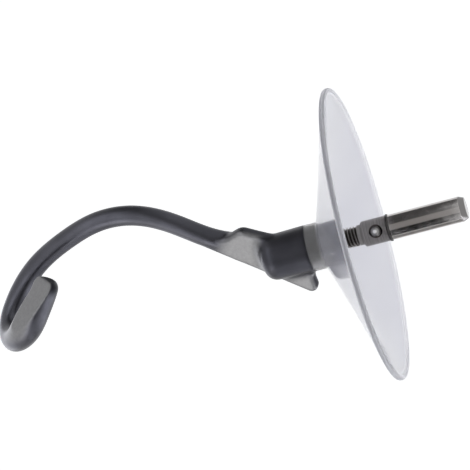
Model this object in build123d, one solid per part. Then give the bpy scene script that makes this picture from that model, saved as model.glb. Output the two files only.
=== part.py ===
from build123d import *
from math import cos, radians, sin
import os

os.makedirs("parts", exist_ok=True)

# Dough hook of a stand mixer, in millimetres. Z is the axis of the shank, with
# the tip of the shank up and the hook down. The origin is the point where the
# axis of the drive pin crosses it. The hook swings out to -X and the pin lies
# along Y.

# Drive shank, turned steel with a threaded stud below
SHANK_R = 5.0
SHANK_TOP = 35.6
LEAD_IN_LENGTH = 2.2
LEAD_IN_DEPTH = 0.9
SHANK_FOOT = -5.6
FOOT_CHAMFER = 0.4
STUD_R = 4.0
STUD_GRIP = 22.0
STUD_LEAD_IN = 1.0

# Drive pin through the shank
PIN_R = 2.1
PIN_STAND = 2.4
PIN_DOME = 1.1
PIN_RECESS = 0.6

# Wire ring in a groove of the shank
RING_Z = 4.8
RING_WIRE_R = 0.6
RING_PROUD = 0.45
RING_GAP_DEG = 24.0
GROOVE_PLAY = 0.05

# Boss of the casting, with a spigot on top and a tapped hole for the stud
BOSS_R = 9.3
BOSS_LOW_R = 8.8
BOSS_TOP = -27.1
BOSS_LENGTH = 19.3
BOSS_ROUND = 5.0
SPIGOT_LENGTH = 12.9
SPIGOT_CHAMFER = 0.6
HOLE_PLAY = 0.05
HOLE_RUN_OUT = 1.5
SHIELD_SEAT = 0.05

# Shield, a moulded cone on a sleeve that snaps on the spigot
SHIELD_R = 58.0
SHIELD_WALL = 1.5
SHIELD_RIM_Z = -3.9
RIM_EDGE = 1.8
RIM_WIDTH = 1.7
RIM_ROUND = 0.7
CONE_SAG = 0.5
COLLAR_LENGTH = 5.0
SLEEVE_LENGTH = 10.3
SLEEVE_WALL = 0.85
SLEEVE_PLAY = 0.05
BEAD_DEPTH = 7.5
BEAD_R = 0.45
BEAD_PLAY = 0.06

# Wing, a flat plate that runs through the boss at a slant. Its outline is
# drawn on its front face, from the end in the arm round by the fin.
WING_ORIGIN = (0.0, 2.0, -50.0)
WING_ALONG = (0.588, 0.10, 0.803)
WING_FACE = (0.511, -0.815, -0.273)
WING_THICK = 5.0
WING_HUMP = (-9.8, 11.6)
WING_DIP = (-14.2, 4.4)
WING_FIN = (28.9, -4.4)
WING_OUTLINE = [(-27, -2.8), WING_FIN, (16.3, 13.4), (2, 13.8), WING_HUMP, WING_DIP, (-27, 1.6)]
WING_FIN_ROUND = 2.6
WING_HUMP_ROUND = 5.0
WING_DIP_ROUND = 6.0
WING_EDGE_ROUND = 1.8
WING_BLEND = 5.0

# Bar of the hook: points on its centre line, from inside the boss through the
# wing, then down to the turn and up to the tip. Below the wing a point gives
# its depth as a share of the hook's length, which ends at the lowest point of
# the line, and the radius of the bar there.
ARM_R = 4.0
TURN_R = 5.1
PADDLE_R = 6.0
HOOK_LENGTH = 84.3
ROOT_LINE = [(-3.0, 3.0, -43.0), (-10.4, 3.6, -58.2), (-15.9, 2.2, -68.0)]
HOOK_LINE = [
    ((-23.2, 1.6, 0.121), ARM_R),
    ((-29.7, 2.0, 0.287), ARM_R),
    ((-30.8, 3.5, 0.465), ARM_R),
    ((-27.2, 6.0, 0.632), ARM_R),
    ((-20.8, 9.5, 0.802), ARM_R),
    ((-8.6, 11.0, 0.957), 0.8 * ARM_R + 0.2 * TURN_R),
    ((-1.1, 8.5, 1.000), 0.5 * ARM_R + 0.5 * TURN_R),
    ((5.3, 0.0, 0.975), TURN_R),
    ((2.9, -8.0, 0.890), PADDLE_R),
    ((-5.6, -12.2, 0.790), PADDLE_R),
    ((-10.5, -13.6, 0.746), PADDLE_R),
]
ROOT_ALONG = (-0.45, 0.1, -0.89)
TIP_ALONG = (-0.86, -0.2, 0.46)
TIP_LENGTH = 4.2
TIP_ROUND = 2.6
TIP_STEPS = (0, 45, 90)
ARM_BLEND = 2.8

# Flat ground on the paddle, off the last point but one of its line
FLAT_FACE = (-0.475, -0.73, -0.492)
FLAT_DEPTH = 2.8

SLEEVE_BORE = BOSS_R - SLEEVE_WALL
SPIGOT_R = SLEEVE_BORE - SLEEVE_PLAY
SPIGOT_TOP = BOSS_TOP + SPIGOT_LENGTH
STUD_END = SPIGOT_TOP - STUD_GRIP
RING_R = SHANK_R + RING_PROUD - RING_WIRE_R
SLEEVE_FOOT = BOSS_TOP + SHIELD_SEAT
BEAD_Z = SLEEVE_FOOT + BEAD_DEPTH


def turned(outline):
    return revolve(Plane.XZ * outline, Axis.Z)


def closed_outline(*points):
    return make_face(Polyline(*points, close=True))


def ring(ring_r, wire_r, height):
    return Pos(0, 0, height) * Torus(ring_r, wire_r)


# Drive shank, drive pin and wire ring
def drive_shank():
    body = turned(
        closed_outline(
            (0, STUD_END),
            (STUD_R - STUD_LEAD_IN, STUD_END),
            (STUD_R, STUD_END + STUD_LEAD_IN),
            (STUD_R, SHANK_FOOT),
            (SHANK_R - FOOT_CHAMFER, SHANK_FOOT),
            (SHANK_R, SHANK_FOOT + FOOT_CHAMFER),
            (SHANK_R, SHANK_TOP - LEAD_IN_LENGTH),
            (SHANK_R - LEAD_IN_DEPTH, SHANK_TOP),
            (0, SHANK_TOP),
        )
    )
    body -= ring(RING_R, RING_WIRE_R + GROOVE_PLAY, RING_Z)
    body -= Rot(90, 0, 0) * Cylinder(PIN_R, 4 * SHANK_R)
    for side in (-90, 90):
        mouth = Rot(side, 0, 0) * Pos(0, 0, SHANK_R - PIN_RECESS / 2)
        body -= mouth * Cone(PIN_R, PIN_R + PIN_RECESS, PIN_RECESS)
    return body


def drive_pin():
    pin = Cylinder(PIN_R, 2 * (SHANK_R + PIN_STAND))
    pin = fillet(pin.edges().filter_by(GeomType.CIRCLE), PIN_DOME)
    return Rot(90, 0, 0) * pin


def snap_ring():
    wire = Plane.XZ * Pos(RING_R, RING_Z) * Circle(RING_WIRE_R)
    open_ring = revolve(wire, Axis.Z, 360 - RING_GAP_DEG)
    return Rot(0, 0, 90 + RING_GAP_DEG / 2) * open_ring


# Shield: collar, cone, rounded rim, and the sleeve inside with its snap bead
def sagged(start, end):
    """A line in the profile that bows by CONE_SAG towards the shank's side."""
    middle = ((start[0] + end[0]) / 2, (start[1] + end[1]) / 2 + CONE_SAG)
    return ThreePointArc(start, middle, end)


def dough_shield():
    cone_foot = (BOSS_R, SLEEVE_FOOT + COLLAR_LENGTH)
    rim_low = (SHIELD_R, SHIELD_RIM_Z - RIM_EDGE)
    slope = (rim_low[1] - cone_foot[1]) / (rim_low[0] - cone_foot[0])
    rise = SHIELD_WALL * (1 + slope**2) ** 0.5
    lip_r = SHIELD_R - RIM_WIDTH
    dish_edge = (lip_r, rim_low[1] + rise - slope * RIM_WIDTH)
    dish_foot = (BOSS_R, cone_foot[1] + rise)
    sleeve_top = SLEEVE_FOOT + SLEEVE_LENGTH
    outline = make_face(
        [
            Polyline((SLEEVE_BORE, SLEEVE_FOOT), (BOSS_R, SLEEVE_FOOT), cone_foot),
            sagged(cone_foot, rim_low),
            Polyline(rim_low, (SHIELD_R, SHIELD_RIM_Z), (lip_r, SHIELD_RIM_Z), dish_edge),
            sagged(dish_edge, dish_foot),
            Polyline(
                dish_foot,
                (BOSS_R, sleeve_top),
                (SLEEVE_BORE, sleeve_top),
                (SLEEVE_BORE, SLEEVE_FOOT),
            ),
        ]
    )
    shell = turned(outline)
    rim = shell.edges().group_by(SortBy.LENGTH)[-1]
    shell = fillet(rim, RIM_ROUND)
    return shell + ring(SLEEVE_BORE, BEAD_R, BEAD_Z)


# Casting: boss, wing, bar and tip in one piece
def boss():
    foot = BOSS_TOP - BOSS_LENGTH
    body = turned(
        closed_outline((0, foot), (BOSS_LOW_R, foot), (BOSS_R, BOSS_TOP), (0, BOSS_TOP))
    )
    return fillet(body.edges().sort_by(Axis.Z)[0], BOSS_ROUND)


def spigot():
    body = Pos(0, 0, BOSS_TOP) * extrude(Circle(SPIGOT_R), SPIGOT_LENGTH)
    body = chamfer(body.edges().sort_by(Axis.Z)[-1], SPIGOT_CHAMFER)
    return body - ring(SLEEVE_BORE, BEAD_R + BEAD_PLAY, BEAD_Z)


def wing():
    front = Plane(origin=WING_ORIGIN, x_dir=WING_ALONG, z_dir=WING_FACE)
    outline = closed_outline(*WING_OUTLINE)
    rounds = [(WING_FIN, WING_FIN_ROUND), (WING_HUMP, WING_HUMP_ROUND), (WING_DIP, WING_DIP_ROUND)]
    for corner, radius in rounds:
        outline = fillet(outline.vertices().sort_by_distance(corner)[0], radius)
    plate = extrude(front * outline, -WING_THICK)
    return fillet(plate.edges(), WING_EDGE_ROUND)


def bar():
    stations = [(Vector(*point), ARM_R) for point in ROOT_LINE]
    root_end = ROOT_LINE[-1][2]
    for (out, side, share), radius in HOOK_LINE:
        stations.append((Vector(out, side, root_end - share * HOOK_LENGTH), radius))
    points = [point for point, radius in stations]
    line = Spline(*points, tangents=(ROOT_ALONG, TIP_ALONG))
    sections = []
    for point, radius in stations:
        across = Plane(point, x_dir=(0, 1, 0), z_dir=line % line.param_at_point(point))
        sections.append(across * Circle(radius))
    for angle in TIP_STEPS:
        drop = TIP_ROUND * (1 - sin(radians(angle)))
        inset = TIP_ROUND * (1 - cos(radians(angle)))
        sections.append(across.offset(TIP_LENGTH - drop) * Circle(radius - inset))
    flat = Plane(points[-2], z_dir=FLAT_FACE).offset(FLAT_DEPTH)
    reach = 4 * PADDLE_R
    ground_off = flat * extrude(Circle(reach), reach)
    return loft(sections) - ground_off


def hook_casting():
    post, plate, hook = boss(), wing(), bar()
    trunk = post + plate
    trunk = fillet(new_edges(post, plate, combined=trunk), WING_BLEND)
    body = trunk + hook
    body = fillet(new_edges(trunk, hook, combined=body), ARM_BLEND)
    body += spigot()
    depth = STUD_GRIP + HOLE_RUN_OUT
    hole = Pos(0, 0, SPIGOT_TOP) * extrude(Circle(STUD_R + HOLE_PLAY), -depth)
    return body - hole


nodes = [drive_shank, drive_pin, snap_ring, dough_shield, hook_casting]
for make in nodes:
    export_step(make(), f"parts/{make.__name__}.step")
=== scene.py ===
import math

import bpy
from mathutils import Matrix, Vector


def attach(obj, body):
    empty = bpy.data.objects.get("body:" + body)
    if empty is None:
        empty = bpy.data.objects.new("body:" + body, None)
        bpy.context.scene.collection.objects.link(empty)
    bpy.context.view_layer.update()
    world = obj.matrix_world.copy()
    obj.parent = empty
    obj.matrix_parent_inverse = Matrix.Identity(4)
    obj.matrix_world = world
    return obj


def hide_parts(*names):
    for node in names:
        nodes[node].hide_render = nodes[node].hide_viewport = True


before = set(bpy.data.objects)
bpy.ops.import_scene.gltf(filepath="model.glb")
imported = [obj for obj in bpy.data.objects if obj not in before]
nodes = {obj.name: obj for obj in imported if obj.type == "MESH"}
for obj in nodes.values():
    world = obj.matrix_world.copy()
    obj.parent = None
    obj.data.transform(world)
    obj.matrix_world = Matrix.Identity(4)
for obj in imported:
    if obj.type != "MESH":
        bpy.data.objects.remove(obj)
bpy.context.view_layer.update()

MM = 0.001
ORIGIN = (0, 0, 0)

# Points closer than this are one point
MERGE = 0.002 * MM

# Turned shank with its stud, in metres, as in the solids
SHANK_R = 5.0 * MM
SHANK_TOP = 35.6 * MM
SHANK_FOOT = -5.6 * MM
SHANK_SIDES = 128
STUD_R = 4.0 * MM
STUD_END = -36.2 * MM
STUD_LEAD_IN = 0.6 * MM
STUD_CORNER = 0.12 * MM
RING_Z = 4.8 * MM

# Rings in the shank's surface, in millimetres: depth, and height over its foot, groove or top
FOOT_EDGE = [(0.4, 0.0), (0.1, 0.22), (0.0, 0.5)]
GROOVE = [(0.0, -0.62), (0.35, -0.45), (0.75, 0.0), (0.35, 0.45), (0.0, 0.62)]
LEAD_IN = [(0.0, -2.3), (0.06, -2.05), (0.82, -0.25), (1.0, -0.05), (1.3, 0.0), (4.9, 0.0)]

# Thread of the stud: its ridge is flat on the crest and sunk a little at the root
THREAD_PITCH = 1.25 * MM
THREAD_DEPTH = 0.70 * MM
THREAD_TOP = -8.0 * MM
THREAD_TURNS = 7
THREAD_STEPS = 72
ROOT_R = STUD_R - THREAD_DEPTH
ROOT_SUNK = 0.15 * MM
ROOT_STEP = 0.05 * MM
CREST_R = STUD_R - 0.03 * MM
CREST_HALF = 0.09 * MM
RIDGE_HALF = 0.48 * THREAD_PITCH

# Pin through the shank
PIN_R = 2.1 * MM
PIN_HALF = 7.4 * MM
PIN_DOME = 1.1 * MM
PIN_RECESS = 0.6 * MM
PIN_SIDES = 64
DOME_STEPS = 10

# Moulded shield
SLEEVE_R = 9.3 * MM
SLEEVE_BORE = 8.45 * MM
SLEEVE_FOOT = -27.05 * MM
SLEEVE_TOP = -16.75 * MM
BEAD_Z = -19.55 * MM
BEAD_R = 0.45 * MM
BEAD_ARC = [(-1.0, 0.0), (-0.7, 0.7), (0.0, 1.0), (0.7, 0.7), (1.0, 0.0)]
CONE_FOOT = -22.05 * MM
DISH_FOOT = -20.468 * MM
SHIELD_R = 58.0 * MM
LIP_R = 56.3 * MM
RIM_LOW = -5.7 * MM
RIM_TOP = -3.9 * MM
DISH_EDGE = -4.688 * MM
CONE_SAG = 0.5 * MM
CONE_PARTS = 14
SHIELD_STEPS = 192

# Rounds of the shield's corners
BORE_ROUND = 0.12 * MM
FOOT_ROUND = 0.2 * MM
SLEEVE_ROUND = 0.25 * MM
CONE_ROUND = 0.8 * MM
RIM_ROUND = 0.7 * MM
LIP_ROUND = 0.3 * MM
ROUND_STEPS = 4
STRAIGHT = math.radians(89)

# Boss of the casting, and where its foot sweeps into the wing
BOSS_R = 9.3 * MM
BOSS_FOOT = Vector((-1.0, -5.0, -46.5)) * MM
SWEEP_REACH = 9.0 * MM
SWEEP_CORE = 1.5
SWEEP_ROUNDS = 120

# Wear of the whole casting
FACE_SIZE = 0.36 * MM
TUMBLE_ROUNDS = 6
TUMBLE_FACTOR = 0.5

# Two flats on the casting, light partly as metal brightened by grinding and partly as a painted
# reflection: outward direction, a point, the reach and the fade round it
WING_FACE = Vector((0.511, -0.815, -0.273)).normalized()
WING_POINT = Vector((5.3, 2.9, -42.8)) * MM
WING_REACH = 27 * MM
WING_FADE = 3.2 * MM
TIP_FACE = Vector((-0.475, -0.73, -0.492)).normalized()
TIP_POINT = Vector((-5.6, -12.2, -134.597)) * MM + TIP_FACE * 2.8 * MM
TIP_ALONG = Vector((-0.86, -0.2, 0.46)).normalized()
TIP_REACH = 34 * MM
TIP_FADE = 0.9 * MM
TURN_FADE = 5.0 * MM

# Stretches along the tip, from the point of its flat, and the bounds of the limb that has it; the
# cap's stretch on that limb is painted darker, as painted shade
TIP_RUN_OUT = -19 * MM, -3 * MM
TIP_CAP = 3 * MM, 8 * MM
NEAR_LIMB_Y = -7 * MM, -4 * MM
NEAR_LIMB_Z = -110 * MM, -100 * MM

# Colours of the finishes. A pair goes from the darker to the lighter tone.
# The boss and cap colours are darker copies of the bar's: painted shade
BOSS_SHADE_METAL = (0.038, 0.038, 0.044), (0.048, 0.048, 0.055)
BAR_METAL = (0.058, 0.058, 0.066), (0.071, 0.071, 0.081)
CAP_SHADE_METAL = (0.030, 0.030, 0.035)
# The flats' light colour is partly metal brightened by grinding and partly a painted reflection
BARE_AND_SHEEN_METAL = (0.158, 0.157, 0.158), (0.182, 0.181, 0.181)
CONE_CLOUD = (0.69, 0.69, 0.745), (0.725, 0.723, 0.765)
RIM_CLOUD = (0.96, 0.96, 0.985)
# The collar's grey is painted shade where the plastic lies on the dark metal
COLLAR_SHADE = (0.52, 0.515, 0.51)
POLISHED_STEEL = (0.46, 0.44, 0.425), (0.54, 0.52, 0.505)
# The chamfer's darker colour is painted shade
LEAD_IN_SHADE = (0.19, 0.182, 0.177)
NECK_STEEL = (0.17, 0.162, 0.156), (0.30, 0.287, 0.277)
# Dark colour of the recesses: painted shade
RECESS_SHADE_STEEL = (0.062, 0.051, 0.045)
DOME_STEEL = (0.20, 0.195, 0.192), (0.26, 0.255, 0.25)
# The pin's dark dome edge is painted shade, and its light crown a painted highlight
DOME_EDGE_SHADE = (0.05, 0.047, 0.045)
DOME_CROWN_HIGHLIGHT = (0.82, 0.81, 0.80)
DARK_WIRE = (0.035, 0.033, 0.032), (0.07, 0.067, 0.064)

# Floor far under the hook, which hangs by its shank, and upright cards round it
FLOOR_Z = -0.60
FLOOR_SIZE = 24
FLOOR_GREY = (0.9, 0.9, 0.9)
FLOOR_GLOW = 0.52
CARD_HEIGHT = 0.85
PALE_CARD = (0.66, 0.632, 0.615)
BACK_CARD = (0.6, 0.575, 0.56)
GREY_CARD = (0.17, 0.163, 0.163)
BLACK_CARD = (0.03, 0.0285, 0.0275)

# Light
WHITE = (1.0, 1.0, 1.0)
WARM = (1.0, 0.985, 0.96)
COOL = (0.91, 0.925, 1.0)
SKY = (0.97, 0.98, 1.0)
SKY_LIGHT = 0.6
SKY_SEEN = 0.42

# Camera at the photograph's viewing angle
LENS = 238.7
SENSOR = 36.0
VIEW_RIGHT = Vector((0.25241, 0.17966, 0.95079))
VIEW_DOWN = Vector((0.96762, -0.04686, -0.24802))
VIEW_FORWARD = Vector((0.0, 0.98261, -0.18567))
VIEW_PLACE = Vector((-12.22, -1188.33, 170.21)) * MM


# Ways to work on a piece
def pick(piece):
    bpy.ops.object.select_all(action="DESELECT")
    bpy.context.view_layer.objects.active = piece
    piece.select_set(True)


def edit_all(piece):
    pick(piece)
    bpy.ops.object.mode_set(mode="EDIT")
    bpy.ops.mesh.select_all(action="SELECT")


def leave_edit():
    bpy.ops.object.mode_set(mode="OBJECT")


def name_piece(name):
    piece = bpy.context.object
    piece.name = name
    piece.data.name = name
    return piece


def square(name, size):
    """A level square at the origin, to start from."""
    bpy.ops.object.select_all(action="DESELECT")
    bpy.ops.mesh.primitive_plane_add(size=size, location=ORIGIN)
    return name_piece(name)


def turn(piece, degrees, axis):
    edit_all(piece)
    bpy.ops.transform.rotate(value=math.radians(degrees), orient_axis=axis, center_override=ORIGIN)
    leave_edit()


def stretch(piece, factors):
    edit_all(piece)
    bpy.ops.transform.resize(value=factors, center_override=ORIGIN)
    leave_edit()


def move(piece, way):
    edit_all(piece)
    bpy.ops.transform.translate(value=way)
    leave_edit()


def apply_modifiers(piece):
    pick(piece)
    for modifier in list(piece.modifiers):
        bpy.ops.object.modifier_apply(modifier=modifier.name)


def merge_points(piece):
    edit_all(piece)
    bpy.ops.mesh.remove_doubles(threshold=MERGE)
    leave_edit()


def fill_ends(piece):
    edit_all(piece)
    bpy.ops.mesh.fill_holes(sides=0)
    leave_edit()


def close_up(piece):
    """Merge doubled points and turn every face outwards."""
    merge_points(piece)
    edit_all(piece)
    bpy.ops.mesh.normals_make_consistent(inside=False)
    leave_edit()


def smooth(piece, degrees):
    """Shade a piece smooth. Edges that turn by more degrees stay crisp."""
    pick(piece)
    bpy.ops.object.shade_smooth_by_angle(angle=math.radians(degrees))


def wear(piece, name, rounds):
    """Adds the modifier that melts a piece's edges round."""
    melt = piece.modifiers.new(name, "SMOOTH")
    melt.factor = TUMBLE_FACTOR
    melt.iterations = rounds
    return melt


def wound(name, line, steps, turns=1, pitch=0):
    """A piece drawn as a line of points, each a radius and a height, wound round the Z axis."""
    piece = square(name, MM)
    edit_all(piece)
    bpy.ops.mesh.merge(type="CENTER")
    r, z = line[0]
    bpy.ops.transform.translate(value=(r, 0, z))
    for next_r, next_z in line[1:]:
        way = (next_r - r, 0, next_z - z)
        bpy.ops.mesh.extrude_vertices_move(TRANSFORM_OT_translate={"value": way})
        r, z = next_r, next_z
    leave_edit()
    merge_points(piece)
    screw = piece.modifiers.new("wind", "SCREW")
    screw.axis = "Z"
    screw.angle = 2 * math.pi
    screw.screw_offset = pitch
    screw.iterations = turns
    screw.steps = steps
    screw.render_steps = steps
    apply_modifiers(piece)
    merge_points(piece)
    fill_ends(piece)
    close_up(piece)
    return piece


def turned_bar(name, profile, sides):
    """A bar turned from a disc, ring by ring. Each ring is a radius and a height."""
    r, z = profile[0]
    bpy.ops.object.select_all(action="DESELECT")
    bpy.ops.mesh.primitive_circle_add(vertices=sides, radius=r, fill_type="NGON", location=ORIGIN)
    bar = name_piece(name)
    edit_all(bar)
    bpy.ops.transform.translate(value=(0, 0, z))
    for next_r, next_z in profile[1:]:
        way = (0, 0, next_z - z)
        bpy.ops.mesh.extrude_region_move(TRANSFORM_OT_translate={"value": way})
        scale = next_r / r
        bpy.ops.transform.resize(value=(scale, scale, 1), center_override=(0, 0, next_z))
        r, z = next_r, next_z
    leave_edit()
    close_up(bar)
    return bar


# Shank: turned, then drilled for the pin
def pin_drill():
    """Cuts the hole for the pin and the small countersinks at its mouths."""
    mouth = SHANK_R - PIN_RECESS
    past = SHANK_R + PIN_RECESS
    wide = PIN_R + 2 * PIN_RECESS
    profile = [(wide, -past), (PIN_R, -mouth), (PIN_R, mouth), (wide, past)]
    drill = turned_bar("pin_drill", profile, PIN_SIDES)
    turn(drill, 90, "X")
    return drill


def cut_in(rings, level):
    return [(SHANK_R - depth * MM, level + height * MM) for depth, height in rings]


def shank():
    profile = [
        (ROOT_R - STUD_LEAD_IN, STUD_END),
        (ROOT_R, STUD_END + STUD_LEAD_IN),
        (ROOT_R, THREAD_TOP),
        (STUD_R, THREAD_TOP + THREAD_DEPTH),
        (STUD_R, SHANK_FOOT - STUD_CORNER),
        (STUD_R + STUD_CORNER, SHANK_FOOT),
        *cut_in(FOOT_EDGE, SHANK_FOOT),
        *cut_in(GROOVE, RING_Z),
        *cut_in(LEAD_IN, SHANK_TOP),
    ]
    bar = turned_bar("shank", profile, SHANK_SIDES)
    drill = pin_drill()
    cut = bar.modifiers.new("pin hole", "BOOLEAN")
    cut.operation = "DIFFERENCE"
    cut.solver = "EXACT"
    cut.object = drill
    apply_modifiers(bar)
    bpy.data.objects.remove(drill)
    close_up(bar)
    smooth(bar, 28)
    return bar


# Pin: turned with a low dome at each end, then laid across the shank
def pin():
    dome_r = (PIN_R**2 + PIN_DOME**2) / (2 * PIN_DOME)
    widest = math.asin(PIN_R / dome_r)
    dome = []
    for step in range(1, DOME_STEPS + 1):
        angle = widest * step / DOME_STEPS
        dome.append((dome_r * math.sin(angle), PIN_HALF - dome_r * (1 - math.cos(angle))))
    profile = [(r, -z) for r, z in dome] + dome[::-1]
    bar = turned_bar("domed_pin", profile, PIN_SIDES)
    turn(bar, 90, "X")
    close_up(bar)
    smooth(bar, 40)
    return bar


# Thread of the stud: one ridge, wound down the stud
def stud_thread():
    ridge_line = [
        (ROOT_R - ROOT_SUNK, -RIDGE_HALF),
        (ROOT_R, -RIDGE_HALF + ROOT_STEP),
        (CREST_R, -CREST_HALF),
        (CREST_R, CREST_HALF),
        (ROOT_R, RIDGE_HALF - ROOT_STEP),
        (ROOT_R - ROOT_SUNK, RIDGE_HALF),
    ]
    foot = THREAD_TOP - THREAD_TURNS * THREAD_PITCH
    line = [(r, foot + z) for r, z in ridge_line]
    ridge = wound("stud_thread", line, THREAD_STEPS, THREAD_TURNS, THREAD_PITCH)
    smooth(ridge, 30)
    return ridge


# Shield: the outline of its wall with every corner rounded, turned once round
def rounded(corners):
    """The closed line through the corners (r, z, radius), each with an arc of that radius."""
    line = []
    for place, (r, z, radius) in enumerate(corners):
        corner = Vector((r, z))
        before = Vector(corners[place - 1][:2]) - corner
        after = Vector(corners[(place + 1) % len(corners)][:2]) - corner
        half = before.angle(after) / 2
        if radius == 0 or half > STRAIGHT:
            line.append(tuple(corner))
            continue
        start = before.normalized() * radius / math.tan(half)
        end = after.normalized() * radius / math.tan(half)
        inwards = (before.normalized() + after.normalized()).normalized()
        centre = inwards * radius / math.sin(half)
        for step in range(ROUND_STEPS + 1):
            spoke = (start - centre).lerp(end - centre, step / ROUND_STEPS)
            line.append(tuple(corner + centre + spoke.normalized() * radius))
    return line + line[:1]


def sagged(start, end):
    """Corners along a line that bows up by CONE_SAG in its middle, without its ends."""
    (r0, z0), (r1, z1) = start, end
    corners = []
    for part in range(1, CONE_PARTS):
        share = part / CONE_PARTS
        sag = 4 * CONE_SAG * share * (1 - share)
        corners.append((r0 + (r1 - r0) * share, z0 + (z1 - z0) * share + sag, 0))
    return corners


def moulded_shield():
    cone_foot, rim_low = (SLEEVE_R, CONE_FOOT), (SHIELD_R, RIM_LOW)
    dish_edge, dish_foot = (LIP_R, DISH_EDGE), (SLEEVE_R, DISH_FOOT)
    corners = [
        (SLEEVE_BORE, SLEEVE_FOOT, BORE_ROUND),
        (SLEEVE_R, SLEEVE_FOOT, FOOT_ROUND),
        (*cone_foot, CONE_ROUND),
        *sagged(cone_foot, rim_low),
        (*rim_low, RIM_ROUND),
        (SHIELD_R, RIM_TOP, RIM_ROUND),
        (LIP_R, RIM_TOP, LIP_ROUND),
        (*dish_edge, LIP_ROUND),
        *sagged(dish_edge, dish_foot),
        (*dish_foot, CONE_ROUND),
        (SLEEVE_R, SLEEVE_TOP, SLEEVE_ROUND),
        (SLEEVE_BORE, SLEEVE_TOP, SLEEVE_ROUND),
        *[(SLEEVE_BORE - out * BEAD_R, BEAD_Z - down * BEAD_R, 0) for down, out in BEAD_ARC],
    ]
    shield = wound("moulded_shield", rounded(corners), SHIELD_STEPS)
    smooth(shield, 40)
    return shield


# Casting: the solid with its sharp edges worn round, as after tumbling
def tumbled_casting():
    mesh = nodes["hook_casting"].data.copy()
    casting = bpy.data.objects.new("tumbled_casting", mesh)
    mesh.name = casting.name
    mesh.materials.clear()
    bpy.context.scene.collection.objects.link(casting)
    close_up(casting)
    grid = casting.modifiers.new("even faces", "REMESH")
    grid.mode = "VOXEL"
    grid.voxel_size = FACE_SIZE
    grid.use_smooth_shade = True
    wear(casting, "tumble", TUMBLE_ROUNDS)
    apply_modifiers(casting)
    sweep = casting.vertex_groups.new(name="foot of the boss")
    for vertex in casting.data.vertices:
        share = SWEEP_CORE - (vertex.co - BOSS_FOOT).length / SWEEP_REACH
        if share > 0:
            sweep.add([vertex.index], min(share, 1.0), "REPLACE")
    wear(casting, "sweep", SWEEP_ROUNDS).vertex_group = sweep.name
    apply_modifiers(casting)
    casting.vertex_groups.clear()
    return casting


# Nodes of materials and of the effects that they share
class Nodes:
    """Short ways to add and join nodes in a tree. A value is a socket or a plain number."""

    def __init__(self, tree):
        self.tree = tree

    def add(self, kind, **settings):
        node = self.tree.nodes.new(kind)
        for key, value in settings.items():
            setattr(node, key, value)
        return node

    def feed(self, socket, value):
        if isinstance(value, bpy.types.NodeSocket):
            self.tree.links.new(value, socket)
        elif socket.type == "RGBA":
            socket.default_value = (*value, 1)
        else:
            socket.default_value = value

    def feed_named(self, sockets, values):
        """Feed sockets by their names, with underscores for the spaces."""
        for key, value in values.items():
            self.feed(sockets[key.replace("_", " ")], value)

    def work_out(self, operation, *values):
        node = self.add("ShaderNodeMath", operation=operation)
        for socket, value in zip(node.inputs, values):
            self.feed(socket, value)
        return node.outputs["Value"]

    def both(self, first, second):
        return self.work_out("MULTIPLY", first, second)

    def either(self, first, second):
        return self.work_out("MAXIMUM", first, second)

    def from_axis(self, first, second):
        """How far a place is from an axis, from its two distances across it."""
        squares = self.work_out("MULTIPLY_ADD", first, first, self.both(second, second))
        return self.work_out("SQRT", squares)

    def vectors(self, operation, *values):
        node = self.add("ShaderNodeVectorMath", operation=operation)
        for socket, value in zip(node.inputs, values):
            self.feed(socket, value)
        return node.outputs

    def axes(self, vector):
        node = self.add("ShaderNodeSeparateXYZ")
        self.feed(node.inputs["Vector"], vector)
        return node.outputs

    def spread(self, value, low, high, to_low, to_high):
        """Values from low to high, drawn out from to_low to to_high with soft ends."""
        node = self.add("ShaderNodeMapRange", interpolation_type="SMOOTHSTEP")
        limits = {"From_Min": low, "From_Max": high, "To_Min": to_low, "To_Max": to_high}
        self.feed_named(node.inputs, {"Value": value, **limits})
        return node.outputs["Result"]

    def rises(self, value, low, high):
        """A mask that goes from 0 at low to 1 at high."""
        return self.spread(value, low, high, 0.0, 1.0)

    def falls(self, value, low, high):
        """A mask that goes from 1 at low to 0 at high."""
        return self.spread(value, low, high, 1.0, 0.0)

    def noise(self, place, **values):
        dimensions = "1D" if place.type == "VALUE" else "3D"
        node = self.add("ShaderNodeTexNoise", noise_dimensions=dimensions)
        self.feed(node.inputs["W" if dimensions == "1D" else "Vector"], place)
        self.feed_named(node.inputs, values)
        return node.outputs["Fac"]

    def mix(self, data_type, socket_type, factor, ends):
        node = self.add("ShaderNodeMix", data_type=data_type)
        self.feed(node.inputs["Factor"], factor)
        inputs = [socket for socket in node.inputs if socket.type == socket_type]
        for name, value in zip("AB", ends):
            self.feed(next(socket for socket in inputs if socket.name == name), value)
        return next(socket for socket in node.outputs if socket.type == socket_type)

    def blend_colour(self, factor, *ends):
        return self.mix("RGBA", "RGBA", factor, ends)

    def blend_value(self, factor, *ends):
        return self.mix("FLOAT", "VALUE", factor, ends)

    def effect(self, group, **values):
        node = self.add("ShaderNodeGroup", node_tree=group)
        self.feed_named(node.inputs, values)
        return node.outputs

    def seen(self):
        """1 for what the camera shows, also mirrored or through plastic, and 0 for plain light."""
        path = self.add("ShaderNodeLightPath").outputs
        mirrored = self.either(path["Is Glossy Ray"], path["Is Transmission Ray"])
        return self.either(path["Is Camera Ray"], mirrored)


class Finish(Nodes):
    """A material with its Principled shader."""

    def __init__(self, name):
        self.material = bpy.data.materials.new(name)
        self.material.use_nodes = True
        super().__init__(self.material.node_tree)
        self.shader = self.tree.nodes["Principled BSDF"]
        self.place = self.add("ShaderNodeTexCoord").outputs["Object"]

    def set(self, **values):
        self.feed_named(self.shader.inputs, values)

    def bump(self, height, depth):
        node = self.add("ShaderNodeBump")
        self.feed_named(node.inputs, {"Strength": 1.0, "Distance": depth, "Height": height})
        self.set(Normal=node.outputs["Normal"])


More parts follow.
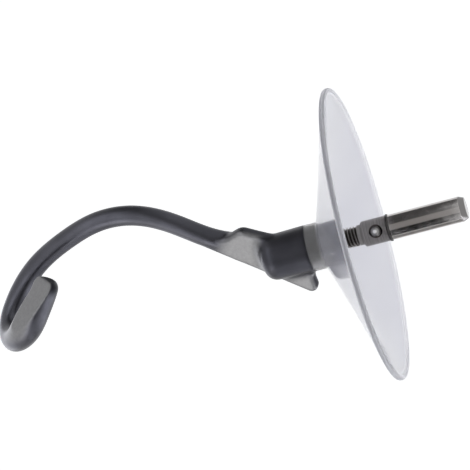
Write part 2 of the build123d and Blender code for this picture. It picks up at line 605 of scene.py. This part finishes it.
class Effect(Nodes):
    """A node group that takes vectors and numbers and gives numbers, each by its name."""

    def __init__(self, name, vectors, numbers, outputs):
        super().__init__(bpy.data.node_groups.new(name, "ShaderNodeTree"))
        for sockets, way, kind in (
            (vectors, "INPUT", "NodeSocketVector"),
            (numbers, "INPUT", "NodeSocketFloat"),
            (outputs, "OUTPUT", "NodeSocketFloat"),
        ):
            for socket in sockets:
                self.tree.interface.new_socket(socket, in_out=way, socket_type=kind)
        self.given = self.add("NodeGroupInput").outputs
        self.result = self.add("NodeGroupOutput").inputs


def moulded_skin():
    """Slow waves with a fine grain on them, as a mould leaves."""
    numbers = ["Wave Scale", "Grain Scale", "Grain Share"]
    e = Effect("moulded_skin", ["Place"], numbers, ["Height", "Tone"])
    place = e.given["Place"]
    wave = e.noise(place, Scale=e.given["Wave Scale"], Detail=2.0, Roughness=0.5)
    grain = e.noise(place, Scale=e.given["Grain Scale"], Detail=3.0, Roughness=0.6)
    e.feed(e.result["Height"], e.work_out("MULTIPLY_ADD", grain, e.given["Grain Share"], wave))
    e.feed(e.result["Tone"], e.rises(wave, 0.3, 0.7))
    return e.tree


def handling_marks():
    """Soft patches where hands and cloths have dulled or rubbed a surface."""
    e = Effect("handling_marks", ["Place"], ["Scale", "Dull", "Rubbed"], ["Roughness"])
    patches = e.noise(e.given["Place"], Scale=e.given["Scale"], Detail=4.0, Roughness=0.62)
    roughness = e.blend_value(e.rises(patches, 0.32, 0.68), e.given["Dull"], e.given["Rubbed"])
    e.feed(e.result["Roughness"], roughness)
    return e.tree


def turned_rings():
    """Fine rings round the Z axis, as a lathe tool leaves."""
    e = Effect("turned_rings", ["Place"], ["Scale"], ["Ring"])
    height = e.axes(e.given["Place"])["Z"]
    e.feed(e.result["Ring"], e.noise(height, Scale=e.given["Scale"], Detail=4.0, Roughness=0.7))
    return e.tree


def ground_and_sheen_flat():
    """Where a surface near a point lies in its plane and faces its way, fading at the edges: the
    mask of a flat's light colour, partly a painted reflection.
    """
    vectors = ["Place", "Normal", "Facing", "Middle"]
    e = Effect("ground_and_sheen_flat", vectors, ["Reach", "Fade"], ["Mask"])
    offset = e.vectors("SUBTRACT", e.given["Place"], e.given["Middle"])["Vector"]
    distance = e.vectors("LENGTH", offset)["Value"]
    near = e.falls(e.work_out("DIVIDE", distance, e.given["Reach"]), 0.7, 1.0)
    turned = e.vectors("DOT_PRODUCT", e.given["Normal"], e.given["Facing"])["Value"]
    faces = e.rises(turned, -0.1, 0.85)
    height = e.vectors("DOT_PRODUCT", offset, e.given["Facing"])["Value"]
    away = e.work_out("DIVIDE", e.work_out("ABSOLUTE", height), e.given["Fade"])
    lies = e.falls(away, 0.1, 1.0)
    e.feed(e.result["Mask"], e.both(e.both(faces, lies), near))
    return e.tree


SKIN = moulded_skin()
MARKS = handling_marks()
RINGS = turned_rings()
FLAT = ground_and_sheen_flat()


# Finishes
def dark_casting():
    """Burnished cast metal, with painted shade on the boss and the cap of the tip, and two bright
    flats that are partly a painted reflection.
    """
    f = Finish("dark_casting")
    x, y, z = f.axes(f.place)
    from_tip = f.vectors("SUBTRACT", f.place, TIP_POINT)["Vector"]
    along = f.vectors("DOT_PRODUCT", from_tip, TIP_ALONG)["Value"]
    normal = f.add("ShaderNodeNewGeometry").outputs["Normal"]
    wing_flat = {"Facing": WING_FACE, "Middle": WING_POINT, "Reach": WING_REACH}
    tip_flat = {"Facing": TIP_FACE, "Middle": TIP_POINT, "Reach": TIP_REACH}

    # The wing's flat stops at the boss, and the tip's flat fades out towards the turn. Their light
    # colour is partly a painted reflection.
    wing = f.effect(FLAT, Place=f.place, Normal=normal, Fade=WING_FADE, **wing_flat)["Mask"]
    off_boss = f.rises(f.from_axis(x, y), BOSS_R + 0.1 * MM, BOSS_R + 1.6 * MM)
    under_boss = f.falls(z, BOSS_FOOT.z, BOSS_FOOT.z + 3.5 * MM)
    fade = f.spread(along, *TIP_RUN_OUT, TURN_FADE, TIP_FADE)
    tip = f.effect(FLAT, Place=f.place, Normal=normal, Fade=fade, **tip_flat)["Mask"]
    ground_and_sheen = f.either(f.both(wing, f.either(off_boss, under_boss)), tip)
    speckle = f.noise(f.place, Scale=900.0, Detail=3.0, Roughness=0.7)
    bare_and_sheen = f.blend_colour(f.rises(speckle, 0.3, 0.7), *BARE_AND_SHEEN_METAL)

    # The rest is burnished, and the boss and the cap are painted darker than the bar, as painted
    # shade
    skin = f.effect(SKIN, Place=f.place, Wave_Scale=70.0, Grain_Scale=1100.0, Grain_Share=0.10)
    marks = f.effect(MARKS, Place=f.place, Scale=160.0, Dull=0.41, Rubbed=0.33)
    boss = f.blend_colour(skin["Tone"], *BOSS_SHADE_METAL)
    bar = f.blend_colour(skin["Tone"], *BAR_METAL)
    burnished_and_shade = f.blend_colour(f.falls(z, BOSS_FOOT.z - 20 * MM, BOSS_FOOT.z), boss, bar)
    near_limb = f.both(f.falls(y, *NEAR_LIMB_Y), f.falls(z, *NEAR_LIMB_Z))
    cap = f.both(f.rises(along, *TIP_CAP), near_limb)
    burnished_and_shade = f.blend_colour(cap, burnished_and_shade, CAP_SHADE_METAL)
    f.set(
        Base_Color=f.blend_colour(ground_and_sheen, burnished_and_shade, bare_and_sheen),
        Metallic=1.0,
        Roughness=f.blend_value(ground_and_sheen, marks["Roughness"], 0.44),
    )
    f.bump(skin["Height"], 0.07 * MM)
    return f.material


def milky_plastic():
    """Natural moulded plastic, cloudy but not opaque, duller on the rim, with painted shade
    greying the collar on the metal.
    """
    f = Finish("milky_plastic")
    x, y, z = f.axes(f.place)
    skin = f.effect(SKIN, Place=f.place, Wave_Scale=30.0, Grain_Scale=120.0, Grain_Share=0.05)
    marks = f.effect(MARKS, Place=f.place, Scale=40.0, Dull=0.13, Rubbed=0.08)
    # Painted shade: the collar is greyed where it lies on the metal
    collar = f.falls(z, CONE_FOOT - 0.4 * MM, CONE_FOOT + 0.4 * MM)
    rim = f.rises(f.from_axis(x, y), LIP_R - 0.8 * MM, LIP_R + 0.4 * MM)
    cloud = f.blend_colour(skin["Tone"], *CONE_CLOUD)
    cloud = f.blend_colour(rim, cloud, RIM_CLOUD)
    f.set(
        Base_Color=f.blend_colour(collar, cloud, COLLAR_SHADE),
        Roughness=f.blend_value(rim, marks["Roughness"], 0.5),
        IOR=1.46,
        Transmission_Weight=0.86,
    )
    f.bump(skin["Height"], 0.02 * MM)
    return f.material


def bright_steel():
    """Turned and polished steel, duller round the pin, with painted shade between the threads, in
    the groove and in the mouths of the pin's hole.
    """
    f = Finish("bright_steel")
    x, y, z = f.axes(f.place)
    out = f.from_axis(x, y)
    rings = f.effect(RINGS, Place=f.place, Scale=2600.0)["Ring"]
    marks = f.effect(MARKS, Place=f.place, Scale=220.0, Dull=0.22, Rubbed=0.13)

    # Painted shade darkens the steel between the threads, in the groove and in the mouths of the
    # pin's hole
    deep = f.falls(out, STUD_R - 0.62 * MM, STUD_R - 0.12 * MM)
    below = f.falls(z, SHANK_FOOT - 1.4 * MM, SHANK_FOOT - 0.6 * MM)
    from_ring = f.work_out("ABSOLUTE", f.work_out("SUBTRACT", z, RING_Z))
    groove = f.falls(from_ring, 0.5 * MM, 0.8 * MM)
    hollow = f.falls(out, SHANK_R - 0.3 * MM, SHANK_R - 0.02 * MM)
    mouth = f.falls(f.from_axis(x, z), PIN_R + 0.5 * PIN_RECESS, PIN_R + 1.15 * PIN_RECESS)
    recess_shade = f.either(f.either(f.both(deep, below), f.both(groove, hollow)), mouth)

    # The neck under the wire ring is left as drawn, and the chamfer is painted darker, as painted
    # shade
    top = f.rises(z, SHANK_TOP - 2.35 * MM, SHANK_TOP - 2.1 * MM)
    lead_in = f.both(top, f.rises(out, SHANK_R - 1.2 * MM, SHANK_R - 1.0 * MM))
    neck = f.falls(z, RING_Z - 0.6 * MM, RING_Z + 0.2 * MM)
    polished = f.blend_colour(rings, *POLISHED_STEEL)
    polished = f.blend_colour(lead_in, polished, LEAD_IN_SHADE)
    drawn = f.blend_colour(f.rises(rings, 0.35, 0.65), *NECK_STEEL)
    steel = f.blend_colour(neck, polished, drawn)
    f.set(
        Base_Color=f.blend_colour(recess_shade, steel, RECESS_SHADE_STEEL),
        Metallic=1.0,
        Roughness=f.blend_value(neck, marks["Roughness"], 0.30),
    )
    f.bump(rings, 0.004 * MM)
    return f.material


def pin_steel():
    """Hard steel of the pin, with rings round its own axis, painted shade round the edge of each
    dome and a painted highlight on its crown.
    """
    f = Finish("pin_steel")
    x, y, z = f.axes(f.place)
    out = f.from_axis(x, z)
    upright = f.add("ShaderNodeMapping")
    turned = (math.radians(90), 0, 0)
    f.feed_named(upright.inputs, {"Vector": f.place, "Rotation": turned})
    rings = f.effect(RINGS, Place=upright.outputs["Vector"], Scale=3000.0)["Ring"]
    marks = f.effect(MARKS, Place=f.place, Scale=400.0, Dull=0.34, Rubbed=0.29)
    # Painted shade on the dome's edge, and a painted highlight on its crown
    edge = f.rises(out, 0.60 * PIN_R, 0.90 * PIN_R)
    crown = f.falls(out, 0.20 * PIN_R, 0.50 * PIN_R)
    steel = f.blend_colour(rings, *DOME_STEEL)
    steel = f.blend_colour(edge, steel, DOME_EDGE_SHADE)
    f.set(
        Base_Color=f.blend_colour(crown, steel, DOME_CROWN_HIGHLIGHT),
        Metallic=1.0,
        Roughness=marks["Roughness"],
    )
    f.bump(rings, 0.003 * MM)
    return f.material


def ring_wire():
    """Drawn spring wire, dark."""
    f = Finish("ring_wire")
    skin = f.effect(SKIN, Place=f.place, Wave_Scale=300.0, Grain_Scale=2400.0, Grain_Share=0.2)
    marks = f.effect(MARKS, Place=f.place, Scale=500.0, Dull=0.26, Rubbed=0.18)
    f.set(
        Base_Color=f.blend_colour(skin["Tone"], *DARK_WIRE),
        Metallic=1.0,
        Roughness=marks["Roughness"],
    )
    f.bump(skin["Height"], 0.01 * MM)
    return f.material


# Dress the object
shank_finish = bright_steel()
nodes["snap_ring"].data.materials.clear()
nodes["snap_ring"].data.materials.append(ring_wire())

turned_shank = shank()
domed_pin = pin()
thread = stud_thread()
shield = moulded_shield()
casting = tumbled_casting()
for piece, material, slot in (
    (turned_shank, shank_finish, "shank_steel"),
    (domed_pin, pin_steel(), "pin_steel"),
    (thread, shank_finish, "shank_steel"),
    (shield, milky_plastic(), "shield_plastic"),
    (casting, dark_casting(), "hook_metal"),
):
    piece.data.materials.append(material)
    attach(piece, "root")
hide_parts("drive_shank")
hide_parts("drive_pin")
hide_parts("dough_shield")
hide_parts("hook_casting")


# Floor, cards, light and camera
def floor():
    """A wide pale floor, white where it is seen or mirrored."""
    plane = square("floor", 1)
    stretch(plane, (FLOOR_SIZE, FLOOR_SIZE, 1))
    move(plane, (0, 0, FLOOR_Z))
    f = Finish("pale_floor")
    f.set(
        Base_Color=FLOOR_GREY,
        Roughness=0.9,
        Specular_IOR_Level=0.1,
        Emission_Color=WHITE,
        Emission_Strength=f.work_out("MULTIPLY", f.seen(), FLOOR_GLOW),
    )
    plane.data.materials.append(f.material)


def card(name, width, x, y, degrees, colour):
    """An upright card on the floor, for the metal to mirror."""
    plane = square(name, 1)
    turn(plane, 90, "X")
    stretch(plane, (width, 1, CARD_HEIGHT))
    turn(plane, degrees, "Z")
    move(plane, (x, y, FLOOR_Z + CARD_HEIGHT / 2))
    f = Finish(name)
    f.set(Base_Color=colour, Roughness=1.0, Specular_IOR_Level=0.0)
    plane.data.materials.append(f.material)
    plane.visible_camera = False
    plane.visible_transmission = False


def softbox(name, place, aim, size, level, colour):
    """A soft lamp whose face is level times as bright as white."""
    data = bpy.data.lights.new(name, "AREA")
    data.shape = "RECTANGLE"
    data.size, data.size_y = size
    data.energy = level * math.pi * size[0] * size[1]
    data.color = colour
    lamp = bpy.data.objects.new(name, data)
    bpy.context.scene.collection.objects.link(lamp)
    lamp.location = place
    lamp.rotation_euler = (Vector(aim) - Vector(place)).to_track_quat("-Z", "Y").to_euler()
    lamp.visible_camera = False
    lamp.visible_transmission = False


def sky():
    """A soft even light from all round, white where it is seen or mirrored."""
    world = bpy.data.worlds.new("studio")
    bpy.context.scene.world = world
    world.use_nodes = True
    studio = Nodes(world.node_tree)
    strength = studio.work_out("MULTIPLY_ADD", studio.seen(), SKY_SEEN, SKY_LIGHT)
    background = world.node_tree.nodes["Background"]
    studio.feed_named(background.inputs, {"Color": SKY, "Strength": strength})


def camera():
    data = bpy.data.cameras.new("camera")
    data.sensor_width = SENSOR
    data.lens = LENS
    cam = bpy.data.objects.new("camera", data)
    bpy.context.scene.collection.objects.link(cam)
    rows = zip(VIEW_RIGHT, -VIEW_DOWN, -VIEW_FORWARD, VIEW_PLACE)
    cam.matrix_world = Matrix((*rows, (0, 0, 0, 1)))
    bpy.context.scene.camera = cam


floor()
card("front_card", 1.6, 0.0, -1.7, 0, PALE_CARD)
card("grey_card", 1.5, -1.55, -1.7, 0, GREY_CARD)
card("side_card", 2.9, -2.3, -0.25, 90, GREY_CARD)
card("black_card", 2.2, 1.9, -1.7, 0, BLACK_CARD)
card("black_side", 1.5, 2.7, -0.95, 90, BLACK_CARD)
card("back_card", 1.9, 2.35, 1.0, 75, BACK_CARD)
sky()
softbox("key", (0.475, -0.149, -0.424), (0, 0, -0.055), (0.36, 0.36), 1.6, WARM)
softbox("front", (-0.16, -0.43, -0.33), (0, 0, -0.10), (0.70, 0.18), 2.0, COOL)
softbox("right", (0.36, -0.33, -0.31), (0, 0, -0.13), (0.36, 0.16), 2.6, COOL)
softbox("side", (0.53, -0.02, -0.14), (0, 0, -0.13), (0.70, 0.08), 2.6, COOL)
softbox("high_side", (0.52, 0.10, 0.19), (0, 0, -0.13), (0.80, 0.16), 2.6, COOL)
softbox("under", (0.06, 0.22, -0.52), (0, 0, -0.15), (0.60, 0.50), 1.3, COOL)
camera()
bpy.context.scene.view_settings.view_transform = "Standard"
